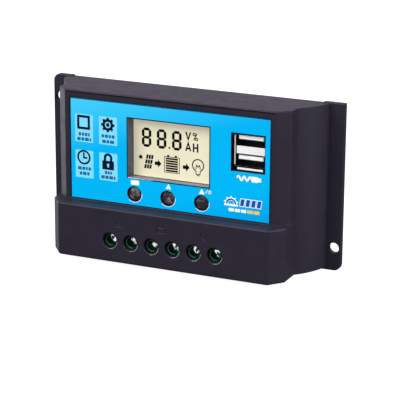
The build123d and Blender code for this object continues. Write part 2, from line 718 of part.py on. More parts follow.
def mosfet_leads():
    """Leads that leave the bodies downwards and turn forward into the board."""
    leads = []
    y = TAB_Y[0] - 1.6
    for x in mosfet_xs():
        for dx in (-2.54, 0, 2.54):
            run = block((x + dx - 0.4, x + dx + 0.4), (y - 0.25, y + 0.25), (-0.4, 4.0))
            leg = block((x + dx - 0.4, x + dx + 0.4), (PCB_Y[0] - 1.0, y + 0.25), (-0.4, 0.1))
            leads.append(run + leg)
    return group(leads)


def thermal_pad():
    xs = mosfet_xs()
    y = (BACK_PLATE_Y - PAD_THICKNESS, BACK_PLATE_Y)
    return block((xs[0] - 6.0, xs[-1] + 6.0), y, (3.0, 20.0))


def capacitor_cans():
    """Aluminium cans of the two electrolytic capacitors, standing on the board's front."""
    cans = []
    for x, z in CAPACITOR_SPOTS:
        can = rod(4.0, (PCB_Y[0] - 11.5, PCB_Y[0] - 1.2), x, z)
        can = fillet(can.faces().sort_by(Axis.Y)[0].edges(), 0.6)
        for turn in (0, 90):
            groove = block((-2.6, 2.6), (-40, PCB_Y[0] - 11.3), (-0.15, 0.15))
            can -= Pos(x, 0, z) * Rot(0, turn, 0) * groove
        cans.append(can)
    return group(cans)


def capacitor_seals():
    """Rubber seals under the cans."""
    seals = [rod(3.7, (PCB_Y[0] - 1.2, PCB_Y[0]), x, z) for x, z in CAPACITOR_SPOTS]
    return group(seals)


def capacitor_leads():
    leads = []
    for x, z in CAPACITOR_SPOTS:
        for dx in (-1.75, 1.75):
            leads.append(rod(0.35, (PCB_Y[0], PCB_Y[1] + 1.0), x + dx, z))
    return group(leads)


def inductor_core():
    """Ferrite drum of the charging socket's converter."""
    base_y = (PCB_Y[0] - 0.8, PCB_Y[0])
    core = rod(4.2, base_y) + rod(4.2, (PCB_Y[0] - 5.0, PCB_Y[0] - 4.2))
    core += rod(2.2, (PCB_Y[0] - 4.3, PCB_Y[0] - 0.7))
    x, z = INDUCTOR_SPOT
    return Pos(x, 0, z) * core


def inductor_winding():
    """Copper winding round the drum."""
    y = (PCB_Y[0] - 4.15, PCB_Y[0] - 0.85)
    x, z = INDUCTOR_SPOT
    return Pos(x, 0, z) * (rod(3.8, y) - rod(2.25, (-30, 0)))


def power_diodes():
    """Surface-mounted rectifiers beside the terminals."""
    diodes = []
    for x in POWER_DIODE_XS:
        body = slab((x, POWER_DIODE_Z), (5.6, 3.6), (PCB_Y[1], PCB_Y[1] + 2.3))
        diodes.append(chamfer(body.faces().sort_by(Axis.Y)[-1].edges(), 0.3))
    return group(diodes)


def shunt_resistor():
    """Bent strip that measures the current."""
    x0, x1 = SHUNT_X
    strip = block(SHUNT_X, (PCB_Y[1], PCB_Y[1] + 4.0), SHUNT_Z)
    return strip - block((x0 + 1.0, x1 - 1.0), (PCB_Y[1] - 1, PCB_Y[1] + 3.0), SHUNT_Z)


MCU_CENTRE = (-2.0, 22.0)
MCU_HALF = 5.0


def mcu_body():
    """Microcontroller's moulded package on the back of the board."""
    body = slab(MCU_CENTRE, (2 * MCU_HALF, 2 * MCU_HALF), (PCB_Y[1] + 0.15, PCB_Y[1] + 1.55))
    return chamfer(body.faces().sort_by(Axis.Y)[-1].edges(), 0.2)


def mcu_leads():
    """Eleven gull-wing leads on each side of the package."""
    leads = []
    for i in range(11):
        along = 0.8 * (i - 5)
        for side in (-1, 1):
            near, far = sorted((side * MCU_HALF, side * (MCU_HALF + 1.0)))
            y = (PCB_Y[1], PCB_Y[1] + 0.6)
            cx, cz = MCU_CENTRE
            leads.append(block((cx + near, cx + far), y, (cz + along - 0.18, cz + along + 0.18)))
            leads.append(block((cx + along - 0.18, cx + along + 0.18), y, (cz + near, cz + far)))
    return group(leads)


def regulator_chip():
    """Converter chip of the charging socket."""
    return slab(REGULATOR_SPOT, (5.0, 4.0), (PCB_Y[1], PCB_Y[1] + 1.5))


def driver_chips():
    """Two small amplifier packages."""
    return group([slab(spot, (5.0, 4.0), (PCB_Y[1], PCB_Y[1] + 1.5)) for spot in DRIVER_SPOTS])


def chip_resistors():
    """Rows of small resistors on the back of the board."""
    y = (PCB_Y[1], PCB_Y[1] + 0.55)
    spots = [(-44.0 + 3.2 * i, 24.5) for i in range(8)] + [(-44.0 + 3.2 * i, 20.5) for i in range(4)]
    spots += [(30.0 + 3.2 * i, 2.0) for i in range(4)]
    return group([slab(spot, (2.0, 1.25), y) for spot in spots])


def chip_capacitors():
    """Small ceramic capacitors on the back of the board."""
    y = (PCB_Y[1], PCB_Y[1] + 0.8)
    spots = [(29.0 + 3.6 * i, 29.5) for i in range(4)] + [(-44.0, -4.0 + 4.0 * i) for i in range(5)]
    return group([slab(spot, (1.25, 2.0), y) for spot in spots])


def backlight_leds():
    """Light sources that stand in the pockets of the light guide."""
    leds = []
    for x in backlight_xs():
        leds.append(block((x - 1.2, x + 1.2), (BACKLIGHT_FRONT_Y, PCB_Y[0]), (22.0, 24.8)))
    return group(leds)


nodes = {
    "front_case": front_case(),
    "back_plate": back_plate(),
    "back_plate_screws": back_plate_screws(),
    "front_label": front_label(),
    "lcd_front_film": lcd_front_film(),
    "lcd_front_glass": lcd_front_glass(),
    "lcd_rear_glass": lcd_rear_glass(),
    "lcd_light_guide": lcd_light_guide(),
    "lcd_holder": lcd_holder(),
    "lcd_pins": lcd_pins(),
    "main_pcb": main_pcb(),
    "pcb_screws": pcb_screws(),
    "usb_shell": usb_shell(),
    "usb_insulator": usb_insulator(),
    "usb_contacts": usb_contacts(),
    "terminal_block": terminal_block(),
    "terminal_bars": terminal_bars(),
    "switch_bodies": switch_bodies(),
    "switch_covers": switch_covers(),
    "switch_domes": switch_domes(),
    "switch_pins": switch_pins(),
    "mosfet_bodies": mosfet_bodies(),
    "mosfet_tabs": mosfet_tabs(),
    "mosfet_leads": mosfet_leads(),
    "thermal_pad": thermal_pad(),
    "capacitor_cans": capacitor_cans(),
    "capacitor_seals": capacitor_seals(),
    "capacitor_leads": capacitor_leads(),
    "inductor_core": inductor_core(),
    "inductor_winding": inductor_winding(),
    "power_diodes": power_diodes(),
    "shunt_resistor": shunt_resistor(),
    "mcu_body": mcu_body(),
    "mcu_leads": mcu_leads(),
    "regulator_chip": regulator_chip(),
    "driver_chips": driver_chips(),
    "chip_resistors": chip_resistors(),
    "chip_capacitors": chip_capacitors(),
    "backlight_leds": backlight_leds(),
}
for i, x in enumerate(pole_xs, start=1):
    nodes[f"clamp_screw_{i}"] = clamp_screw(x, SLOT_ANGLES[i - 1])
    nodes[f"clamp_cage_{i}"] = clamp_cage(x)
for name, x in zip(("menu", "up", "down"), button_xs):
    nodes[f"{name}_button_cap"] = button_cap(x)
    nodes[f"{name}_plunger"] = switch_plunger(x)

for name, node in nodes.items():
    export_step(node, f"parts/{name}.step")
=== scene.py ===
import math

import bmesh
import bpy
from mathutils import Matrix, Vector


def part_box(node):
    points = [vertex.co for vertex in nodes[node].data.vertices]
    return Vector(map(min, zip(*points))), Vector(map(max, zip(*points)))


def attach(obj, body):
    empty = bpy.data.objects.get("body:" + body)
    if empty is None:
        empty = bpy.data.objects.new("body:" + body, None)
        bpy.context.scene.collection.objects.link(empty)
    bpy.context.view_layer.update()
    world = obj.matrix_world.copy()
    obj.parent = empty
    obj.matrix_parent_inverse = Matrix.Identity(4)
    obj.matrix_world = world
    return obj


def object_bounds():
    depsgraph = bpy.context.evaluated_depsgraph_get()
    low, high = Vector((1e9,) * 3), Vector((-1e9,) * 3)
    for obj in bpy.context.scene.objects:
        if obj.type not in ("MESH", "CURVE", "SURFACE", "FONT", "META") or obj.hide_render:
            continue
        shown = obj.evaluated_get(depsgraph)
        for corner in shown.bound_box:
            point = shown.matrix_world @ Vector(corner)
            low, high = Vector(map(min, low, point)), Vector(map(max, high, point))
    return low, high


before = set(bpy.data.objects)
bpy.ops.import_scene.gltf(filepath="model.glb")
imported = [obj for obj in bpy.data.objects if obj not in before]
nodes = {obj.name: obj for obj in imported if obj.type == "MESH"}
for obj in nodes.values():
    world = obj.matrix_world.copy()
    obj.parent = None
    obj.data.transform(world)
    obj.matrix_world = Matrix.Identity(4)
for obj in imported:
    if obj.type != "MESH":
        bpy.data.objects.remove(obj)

cad_low, cad_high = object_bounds()
MM = 0.001
ROOT = "controller"
BUTTON_NAMES = ("menu", "up", "down")
POLES = range(1, 7)


# ---- places read from the frame, in millimetres -----------------------------------------------
def span(node):
    """Lowest and highest corner of a CAD node, in millimetres."""
    low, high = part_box(node)
    return low / MM, high / MM


def middle(node):
    """X and Z of the middle of a CAD node, seen from the front."""
    low, high = span(node)
    return (low.x + high.x) / 2, (low.z + high.z) / 2


label_low, label_high = span("front_label")
case_low, case_high = span("front_case")
film_low, _ = span("lcd_front_film")
shell_low, shell_high = span("usb_shell")
block_low, _ = span("terminal_block")
LABEL_X, LABEL_Z = middle("front_label")
LCD_X, LCD_Z = middle("lcd_front_film")
SHELL_X, SHELL_Z = middle("usb_shell")
BUTTON_PLACES = [middle(f"{button}_button_cap") for button in BUTTON_NAMES]
POLE_PLACES = [middle(f"clamp_screw_{pole}") for pole in POLES]

LABEL_Y = label_low.y  # front of the overlay
FRONT_Y = LABEL_Y - 0.05  # front of the case round the overlay, which lies in a shallow pocket
FILM_Y = film_low.y
SHELL_Y = shell_low.y
PRINT = 0.03  # how far ink stands on what it is printed on
THIN = 0.02  # the same for fine lines and cut edges
LCD_WINDOW = (36.8, 25.1)  # width and height of the display window
BUTTON_HOLE_R = 3.4  # holes of the overlay round the buttons
SCREW_HOLE_R = 3.25  # screw holes of the case
COLLAR_R = 3.15  # collars of the terminal block, which stand in those holes
COLLAR_BORE_R = 2.3
COLLAR_Y = case_low.y + 1.7  # front of the collars


# ---- outlines in X and Z, as lists of points --------------------------------------------------
def polar(x, z, radius, angle):
    """Point at a radius and an angle in radians about a centre, counter-clockwise from +X."""
    return x + radius * math.cos(angle), z + radius * math.sin(angle)


def circle(x, z, radius, segments):
    """Points of a full circle."""
    return [polar(x, z, radius, 2 * math.pi * i / segments) for i in range(segments)]


def box_loop(x, z, width, height):
    """Corners of a rectangle about its centre, counter-clockwise from the upper right."""
    hx, hz = width / 2, height / 2
    return [(x + hx, z + hz), (x - hx, z + hz), (x - hx, z - hz), (x + hx, z - hz)]


def moved(points, x, z):
    """The same points about another origin."""
    return [(x + a, z + b) for a, b in points]


# ---- solid pieces -----------------------------------------------------------------------------
def add_piece(name, bm, material):
    """Turns a finished bmesh into a piece on the controller body."""
    mesh = bpy.data.meshes.new(name)
    bm.to_mesh(mesh)
    bm.free()
    mesh.materials.append(materials[material])
    obj = bpy.data.objects.new(name, mesh)
    bpy.context.scene.collection.objects.link(obj)
    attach(obj, ROOT)


def plate(name, x, y, z, material):
    """Thin plate with softened edges between (low, high) pairs along X, Y and Z."""
    edge_mm = 0.015
    spans = (x, y, z)
    bm = bmesh.new()
    bmesh.ops.create_cube(bm, size=1.0)
    for vert in bm.verts:
        vert.co = [MM * (low + (high - low) * (c + 0.5)) for c, (low, high) in zip(vert.co, spans)]
    bmesh.ops.bevel(bm, geom=bm.edges[:], offset=edge_mm * MM, segments=2, affect="EDGES")
    add_piece(name, bm, material)


class Art:
    """Collects flat shapes in X and Z, in millimetres, and turns them into one thin solid piece."""

    def __init__(self):
        self.bm = bmesh.new()

    def vertices(self, points):
        """New vertices at the (x, z) points."""
        return [self.bm.verts.new((x, 0, z)) for x, z in points]

    def polygon(self, points):
        self.bm.faces.new(self.vertices(points))

    def rectangle(self, x, z, width, height, corner=0.0):
        """Rectangle about its centre, with rounded corners where corner is above 0."""
        hx, hz = width / 2 - corner, height / 2 - corner
        steps = 5 if corner else 1
        points = []
        for quarter, (sx, sz) in enumerate(((1, 1), (-1, 1), (-1, -1), (1, -1))):
            for i in range(steps):
                angle = math.pi / 2 * (quarter + i / max(1, steps - 1))
                points.append(polar(x + sx * hx, z + sz * hz, corner, angle))
        self.polygon(points)

    def disc(self, x, z, radius, segments):
        self.polygon(circle(x, z, radius, segments))

    def band(self, outer, inner):
        """Strip between two closed loops with the same number of points."""
        out, inn = self.vertices(outer), self.vertices(inner)
        for i in range(len(out)):
            j = (i + 1) % len(out)
            self.bm.faces.new((out[i], out[j], inn[j], inn[i]))

    def ring(self, x, z, radius, width, segments=48):
        """Circular line; the radius is that of its middle."""
        self.band(
            circle(x, z, radius + width / 2, segments),
            circle(x, z, radius - width / 2, segments),
        )

    def frame(self, x, z, width, height, line):
        """Rectangular frame; width and height are over its outside."""
        self.band(
            box_loop(x, z, width, height),
            box_loop(x, z, width - 2 * line, height - 2 * line),
        )

    def stroke(self, points, width):
        """Open line of one width through the points, with mitred corners."""
        sharpest = 0.4  # keeps the mitre of a sharp corner short
        path = [Vector(point) for point in points]
        steps = [(b - a).normalized() for a, b in zip(path, path[1:])]
        left, right = [], []
        for p, a, b in zip(path, steps[:1] + steps, steps + steps[-1:]):
            along = (a + b).normalized()
            normal = Vector((-along.y, along.x))
            reach = width / 2 / max(sharpest, normal.dot(Vector((-a.y, a.x))))
            left.append(p + normal * reach)
            right.append(p - normal * reach)
        left, right = self.vertices(left), self.vertices(right)
        for i in range(len(steps)):
            self.bm.faces.new((left[i], left[i + 1], right[i + 1], right[i]))

    def arc(self, x, z, radius, start, end, width, segments=20):
        """Arc line between two angles in degrees, counter-clockwise from +X."""
        angles = [math.radians(start + (end - start) * i / segments) for i in range(segments + 1)]
        self.stroke([polar(x, z, radius, angle) for angle in angles], width)

    def piece(self, name, y, material, slot, thickness=PRINT, shift=(0.0, 0.0)):
        """One solid piece whose back lies at depth y and whose front stands proud of it."""
        bm = self.bm
        bmesh.ops.translate(bm, vec=(shift[0], 0, shift[1]), verts=bm.verts[:])
        for face in bm.faces:
            face.normal_update()
            if face.normal.y > 0:
                face.normal_flip()
        copy = bmesh.ops.duplicate(bm, geom=bm.faces[:] + bm.edges[:] + bm.verts[:])
        partner = copy["vert_map"]
        backs = {vert for vert in copy["geom"] if isinstance(vert, bmesh.types.BMVert)}
        fronts = set(partner) - backs
        for edge in [e for e in bm.edges if e.is_boundary and fronts.issuperset(e.verts)]:
            a, b = edge.verts
            bm.faces.new((a, b, partner[b], partner[a]))
        for vert in fronts:
            vert.co.y = y - thickness
            partner[vert].co.y = y
        bmesh.ops.recalc_face_normals(bm, faces=bm.faces[:])
        bmesh.ops.scale(bm, vec=(MM, MM, MM), verts=bm.verts[:])
        add_piece(name, bm, material)


# ---- materials --------------------------------------------------------------------------------
class Shader:
    """A Principled material with short calls for its procedural detail."""

    def __init__(self, name, color, roughness, metallic=0.0, specular=0.5):
        self.material = bpy.data.materials.new(name)
        self.material.use_nodes = True
        self.tree = self.material.node_tree
        self.bsdf = self.tree.nodes["Principled BSDF"]
        self.bsdf.inputs["Base Color"].default_value = (*color, 1)
        self.bsdf.inputs["Roughness"].default_value = roughness
        self.bsdf.inputs["Metallic"].default_value = metallic
        self.bsdf.inputs["Specular IOR Level"].default_value = specular
        self.place = self.node("ShaderNodeTexCoord").outputs["Object"]
        self.normal = None  # output of the last bevel or bump

    def node(self, kind, **values):
        """New shader node with the given properties."""
        made = self.tree.nodes.new(kind)
        for key, value in values.items():
            setattr(made, key, value)
        return made

    def link(self, source, target):
        self.tree.links.new(source, target)

    def noise(self, size_mm, detail=3.0, stretch=(1, 1, 1)):
        """Noise whose features are about size_mm across, stretched along the axes."""
        mapping = self.node("ShaderNodeMapping")
        mapping.inputs["Scale"].default_value = [1 / s for s in stretch]
        self.link(self.place, mapping.inputs["Vector"])
        noise = self.node("ShaderNodeTexNoise")
        noise.inputs["Scale"].default_value = 1 / (size_mm * MM)
        noise.inputs["Detail"].default_value = detail
        self.link(mapping.outputs[0], noise.inputs["Vector"])
        return noise.outputs["Fac"]

    def along(self, axis, start_mm, end_mm):
        """0 at the first place on an axis and 1 at the second."""
        split = self.node("ShaderNodeSeparateXYZ")
        self.link(self.place, split.inputs[0])
        reach = self.node("ShaderNodeMapRange")
        reach.inputs["From Min"].default_value = start_mm * MM
        reach.inputs["From Max"].default_value = end_mm * MM
        self.link(split.outputs[axis], reach.inputs["Value"])
        return reach.outputs[0]

    def glow(self, color, strength):
        """Light of the surface's own, the same all over it."""
        self.bsdf.inputs["Emission Color"].default_value = (*color, 1)
        self.bsdf.inputs["Emission Strength"].default_value = strength

    def ramp(self, source, *stops):
        """Colour ramp; each stop is (position, grey or (r, g, b))."""
        ramp = self.node("ShaderNodeValToRGB")
        elements = ramp.color_ramp.elements
        while len(elements) < len(stops):
            elements.new(0.5)
        for element, (position, value) in zip(elements, stops):
            element.position = position
            color = value if isinstance(value, tuple) else (value,) * 3
            element.color = (*color, 1)
        self.link(source, ramp.inputs["Fac"])
        return ramp.outputs["Color"]

    def tint(self, source, low, high, start=0.35, end=0.65):
        """Base colour that wanders between two colours."""
        self.link(self.ramp(source, (start, low), (end, high)), self.bsdf.inputs["Base Color"])

    def polish(self, source, low, high):
        """Roughness that wanders between two values."""
        self.link(self.ramp(source, (0.35, low), (0.65, high)), self.bsdf.inputs["Roughness"])

    def soften_edges(self, radius_mm):
        """Rounds hard edges in the shading."""
        bevel = self.node("ShaderNodeBevel", samples=6)
        bevel.inputs["Radius"].default_value = radius_mm * MM
        self.normal = bevel.outputs["Normal"]
        self.link(self.normal, self.bsdf.inputs["Normal"])

    def bump(self, source, height_mm, strength=1.0):
        """Relief on top of any relief already there."""
        bump = self.node("ShaderNodeBump")
        bump.inputs["Distance"].default_value = height_mm * MM
        bump.inputs["Strength"].default_value = strength
        self.link(source, bump.inputs["Height"])
        if self.normal is not None:
            self.link(self.normal, bump.inputs["Normal"])
        self.normal = bump.outputs["Normal"]
        self.link(self.normal, self.bsdf.inputs["Normal"])


def case_plastic():
    """Charcoal ABS with a fine spark-eroded grain and softened edges."""
    s = Shader("case_plastic_moulded", (0.019, 0.016, 0.028), 0.45, specular=0.22)
    s.soften_edges(0.35)
    s.tint(s.noise(9.0, 4.0), (0.0165, 0.0138, 0.0248), (0.019, 0.0158, 0.028))
    s.polish(s.noise(5.0, 5.0), 0.44, 0.50)
    s.bump(s.noise(0.22, 2.0), 0.006, 0.5)
    s.bump(s.noise(20.0, 1.0), 0.008, 0.2)
    return s.material


def label_blue():
    """Printed blue of the overlay, paler towards its upper left and deepest at its lower right."""
    s = Shader("label_blue_print", (0.0, 0.45, 0.95), 0.32, specular=0.04)
    across_share, total_share = 0.55, 0.62  # of the way across, and of both ways together
    sweep = s.node("ShaderNodeMath", operation="MULTIPLY_ADD")
    sweep.inputs[1].default_value = across_share
    s.link(s.along("X", label_low.x, label_high.x), sweep.inputs[0])
    s.link(s.along("Z", label_high.z, label_low.z), sweep.inputs[2])
    total = s.node("ShaderNodeMath", operation="MULTIPLY")
    total.inputs[1].default_value = total_share
    s.link(sweep.outputs[0], total.inputs[0])
    color = s.ramp(
        total.outputs[0],
        (0.0, (0.05, 0.53, 0.82)),
        (0.35, (0.001, 0.40, 0.79)),
        (0.75, (0.0, 0.425, 0.83)),
        (1.0, (0.0, 0.32, 0.74)),
    )
    s.link(color, s.bsdf.inputs["Base Color"])
    s.polish(s.noise(6.0), 0.28, 0.38)
    s.bump(s.noise(0.35, 2.0), 0.003, 0.4)
    return s.material


def ink(name, color, roughness=0.4):
    """Screen-printed ink with a faintly uneven film."""
    s = Shader(name, color, roughness, specular=0.08)
    darker = tuple(c * 0.92 for c in color)
    s.tint(s.noise(1.2, 3.0), darker, color)
    s.bump(s.noise(0.3, 2.0), 0.002, 0.4)
    return s.material


def display_film():
    """Cream display surface with a weak, slightly uneven light behind it."""
    s = Shader("display_film_cream", (0.42, 0.40, 0.29), 0.3, specular=0.3)
    s.glow((1.0, 0.95, 0.70), 0.42)
    s.tint(s.noise(30.0, 1.0), (0.36, 0.34, 0.24), (0.42, 0.395, 0.285))
    s.bump(s.noise(0.12, 1.0), 0.0015, 0.4)
    return s.material


def metal(name, color, roughness, grain=(1, 1, 1), grain_mm=0.5, height=0.002, metallic=1.0):
    """Metal with a drawn or rolled grain, longest along the axis with the highest number."""
    s = Shader(name, color, roughness, metallic=metallic)
    s.soften_edges(0.12)
    lines = s.noise(grain_mm, 3.0, grain)
    s.polish(lines, roughness * 0.75, min(1.0, roughness * 1.3))
    darker = tuple(c * 0.85 for c in color)
    s.tint(s.noise(3.0, 4.0), darker, color, 0.3, 0.7)
    s.bump(lines, height, 0.6)
    return s.material


def glowing_glint_screw():
    """Zinc of the terminal screws with painted highlights: noise patches that glow white as glints, and dark
    ones.
    """
    unlit_zinc, glint_white = (0.02, 0.035, 0.03), (0.90, 0.94, 1.0)
    s = Shader("terminal_screw_painted_glints", glint_white, 0.25, metallic=0.6)
    painted_highlights = s.ramp(s.noise(1.7, 1.0), (0.47, unlit_zinc), (0.62, glint_white))
    # painted highlight: the glint patches set both the colour and a glow of their own
    for socket in ("Base Color", "Emission Color"):
        s.link(painted_highlights, s.bsdf.inputs[socket])
    s.bsdf.inputs["Emission Strength"].default_value = 0.85
    s.polish(s.noise(0.5, 3.0), 0.18, 0.35)
    s.bump(s.noise(0.4, 2.0), 0.004, 0.5)
    return s.material


def plastic(name, color, roughness, spread=0.12, grain_mm=0.3, height=0.004, specular=0.5):
    """Moulded plastic with a fine grain, and a colour and gloss that vary a little."""
    s = Shader(name, color, roughness, specular=specular)
    s.soften_edges(0.15)
    low = tuple(c * (1 - spread) for c in color)
    high = tuple(min(1.0, c * (1 + spread)) for c in color)
    s.tint(s.noise(4.0, 3.0), low, high)
    s.polish(s.noise(2.5, 4.0), roughness * 0.85, min(1.0, roughness * 1.15))
    s.bump(s.noise(grain_mm, 2.0), height, 0.5)
    return s.material


def button_gloss_painted_highlights():
    """Dark glossy plastic of the buttons, with a few paler patches that are painted reflections."""
    s = Shader("button_grey_gloss_painted_highlights", (0.05, 0.045, 0.05), 0.16, specular=0.6)
    s.soften_edges(0.15)
    painted_highlights = s.noise(2.2, 2.0)
    # painted reflections: paler patches in the base colour
    s.tint(painted_highlights, (0.020, 0.016, 0.020), (0.16, 0.135, 0.15), 0.50, 0.70)
    s.polish(painted_highlights, 0.12, 0.30)
    s.bump(s.noise(1.1, 2.0), 0.02, 0.5)
    return s.material


def clear_glass():
    """Clear glass plates of the display, behind its film."""
    s = Shader("display_glass", (0.80, 0.82, 0.76), 0.05)
    s.bsdf.inputs["Transmission Weight"].default_value = 0.6
    s.bsdf.inputs["IOR"].default_value = 1.5
    s.polish(s.noise(8.0), 0.03, 0.08)
    s.bump(s.noise(10.0), 0.002, 0.3)
    return s.material


def board_laminate():
    """Green solder mask with copper tracks showing faintly through it."""
    s = Shader("board_laminate_green", (0.012, 0.16, 0.06), 0.35)
    tracks = s.node("ShaderNodeTexBrick", offset=0.5)
    tracks.inputs["Scale"].default_value = 180.0
    tracks.inputs["Mortar Size"].default_value = 0.04
    tracks.inputs["Color1"].default_value = (0.010, 0.13, 0.05, 1)
    tracks.inputs["Color2"].default_value = (0.014, 0.17, 0.065, 1)
    tracks.inputs["Mortar"].default_value = (0.03, 0.26, 0.10, 1)
    turn = s.node("ShaderNodeMapping")
    turn.inputs["Rotation"].default_value = (math.pi / 2, 0, 0)
    s.link(s.place, turn.inputs["Vector"])
    s.link(turn.outputs[0], tracks.inputs["Vector"])
    s.link(tracks.outputs["Color"], s.bsdf.inputs["Base Color"])
    s.bump(tracks.outputs["Fac"], 0.02, 0.4)
    return s.material


materials = {
    "case": case_plastic(),
    "label": label_blue(),
    "tile": ink("ink_pale_blue", (0.20, 0.66, 0.93)),
    "navy": ink("ink_navy", (0.002, 0.006, 0.022)),
    "caption": ink("ink_caption_blue", (0.010, 0.13, 0.30)),
    "royal": ink("ink_royal_blue", (0.003, 0.085, 0.40)),
    "white": ink("ink_white", (0.93, 0.95, 0.97)),
    "yellow": ink("ink_yellow", (0.95, 0.56, 0.05)),
    "segment": ink("display_segment_black", (0.004, 0.0035, 0.003), 0.3),
    "film": display_film(),
    "glass": clear_glass(),
    "guide": plastic("light_guide_milky", (0.88, 0.86, 0.76), 0.3),
    "holder": plastic("holder_white", (0.80, 0.80, 0.77), 0.5),
    "board": board_laminate(),
    # socket shell steel, darkened to stand for the shade in and round the ports: painted shade
    "socket_steel": metal("socket_steel_painted_shade", (0.045, 0.045, 0.05), 0.35, (1, 12, 1), 0.4),
    # painted highlights: white web and lip, pale left edge, where the socket's metal front catches the light
    "socket_painted_highlight": plastic("socket_front_painted_highlight", (0.80, 0.80, 0.79), 0.35, 0.03),
    "socket_edge_highlight": metal("socket_edge_painted_highlight", (0.62, 0.66, 0.58), 0.45, (1, 1, 12), 0.4, metallic=0.2),
    "socket_white": plastic("socket_white_insulator", (0.93, 0.93, 0.94), 0.4, 0.03),
    "gold": metal("contact_gold", (0.90, 0.66, 0.28), 0.25),
    # terminal block green, darkened to stand for the shade in its deep screw recesses: painted shade
    "terminal_shaded": plastic("terminal_green_painted_shade", (0.002, 0.018, 0.010), 0.6, 0.2, specular=0.01),
    # pale green and grey for painted highlights on the screw recess rims
    "rim_green_highlight": plastic("terminal_rim_painted_highlight", (0.10, 0.23, 0.135), 0.35, 0.15),
    "rim_grey_highlight": plastic("case_rim_painted_highlight", (0.55, 0.50, 0.53), 0.45, 0.15),
    "brass": metal("bar_brass_tinned", (0.70, 0.58, 0.34), 0.35),
    "zinc": metal("screw_zinc_bright", (0.82, 0.83, 0.84), 0.25, (1, 1, 1), 0.35, 0.004),
    # terminal screws: zinc with glowing painted glints
    "screw": glowing_glint_screw(),
    "cage": metal("cage_zinc_steel", (0.62, 0.62, 0.60), 0.4),
    "button": button_gloss_painted_highlights(),
    # window walls: lighter copies of the case plastic where light falls on them, painted light
    "window_side_lit": plastic("window_side_painted_light", (0.070, 0.062, 0.098), 0.4),
    "window_lower_lit": plastic("window_lower_painted_light", (0.19, 0.165, 0.20), 0.4),
    "lining_cream": plastic("lining_cream", (0.62, 0.59, 0.47), 0.4),
    # black for painted shade lines in gaps, along edges and across the window's lower wall
    "shade_line": ink("painted_shade_black", (0.006, 0.006, 0.010)),
    "black": plastic("switch_black", (0.025, 0.025, 0.026), 0.45),
    # painted shade for the gap round the socket
    "gap_shade": plastic("socket_gap_painted_shade", (0.003, 0.003, 0.006), 0.6, specular=0.1),
    "steel": metal("switch_cover_steel", (0.72, 0.72, 0.73), 0.3, (6, 1, 1)),
    "epoxy": plastic("chip_black_epoxy", (0.022, 0.022, 0.023), 0.6, 0.15, 0.15, 0.008),
    "tin": metal("lead_tinned", (0.76, 0.76, 0.74), 0.35),
    "aluminium": metal("back_plate_aluminium", (0.76, 0.77, 0.79), 0.36, (40, 1, 1), 0.5, 0.006),
    "can": metal("capacitor_can_aluminium", (0.70, 0.71, 0.74), 0.25, (1, 20, 1)),
    "pad": plastic("thermal_pad_grey", (0.30, 0.32, 0.36), 0.8, 0.1, 0.5, 0.02),
    "rubber": plastic("seal_rubber", (0.02, 0.02, 0.02), 0.75, 0.2, 0.2, 0.01),
    "ferrite": plastic("inductor_ferrite", (0.05, 0.05, 0.055), 0.7, 0.25, 0.2, 0.015),
    "copper": metal("inductor_copper", (0.85, 0.38, 0.18), 0.3, (1, 0.4, 1), 0.6, 0.03),
    "ceramic": plastic("capacitor_ceramic", (0.50, 0.40, 0.27), 0.5),
    "led": plastic("backlight_led_resin", (0.90, 0.84, 0.55), 0.25),
}

CAD_MATERIALS = {
    "front_case": "case",
    "back_plate": "aluminium",
    "back_plate_screws": "zinc",
    "front_label": "label",
    "lcd_front_film": "film",
    "lcd_front_glass": "glass",
    "lcd_rear_glass": "glass",
    "lcd_light_guide": "guide",
    "lcd_holder": "holder",
    "lcd_pins": "tin",
    "main_pcb": "board",
    "pcb_screws": "zinc",
    "usb_shell": "socket_steel",
    "usb_insulator": "socket_white",
    "usb_contacts": "gold",
    "terminal_block": "terminal_shaded",
    "terminal_bars": "brass",
    "switch_bodies": "black",
    "switch_covers": "steel",
    "switch_domes": "steel",
    "switch_pins": "tin",
    "mosfet_bodies": "epoxy",
    "mosfet_tabs": "tin",
    "mosfet_leads": "tin",
    "thermal_pad": "pad",
    "capacitor_cans": "can",
    "capacitor_seals": "rubber",
    "capacitor_leads": "tin",
    "inductor_core": "ferrite",
    "inductor_winding": "copper",
    "power_diodes": "epoxy",
    "shunt_resistor": "copper",
    "mcu_body": "epoxy",
    "mcu_leads": "tin",
    "regulator_chip": "epoxy",
    "driver_chips": "epoxy",
    "chip_resistors": "epoxy",
    "chip_capacitors": "ceramic",
    "backlight_leds": "led",
}
CAD_MATERIALS.update({f"clamp_screw_{pole}": "screw" for pole in POLES})
CAD_MATERIALS.update({f"clamp_cage_{pole}": "cage" for pole in POLES})
CAD_MATERIALS.update({f"{button}_button_cap": "button" for button in BUTTON_NAMES})
CAD_MATERIALS.update({f"{button}_plunger": "black" for button in BUTTON_NAMES})
for name, obj in nodes.items():
    obj.data.materials.clear()
    obj.data.materials.append(materials[CAD_MATERIALS[name]])


# ---- printed artwork on the overlay, and painted shadows and highlights at its edges ----------
TILE = (8.4, 11.9)  # width and height
TILE_XS = (-38.4, -27.2)
TILE_ZS = (19.9, 4.5)
CAPTIONS = {  # by column and row: two lines, each its drop below the tile's middle and its dashes
    (0, 0): ((2.6, (1.2, 1.0, 1.2, 0.7)), (4.7, (1.6, 1.3, 1.9, 0.7))),
    (1, 0): ((2.3, (1.1, 1.5, 1.0, 1.3)), (4.6, (1.7, 1.2, 1.9))),
    (0, 1): ((1.9, (1.7, 1.3, 0.9, 1.2)), (4.1, (1.2, 1.6, 1.1))),
    (1, 1): ((2.5, (1.1, 0.8, 0.7)), (4.5, (1.6, 1.4, 1.8, 0.8))),
}


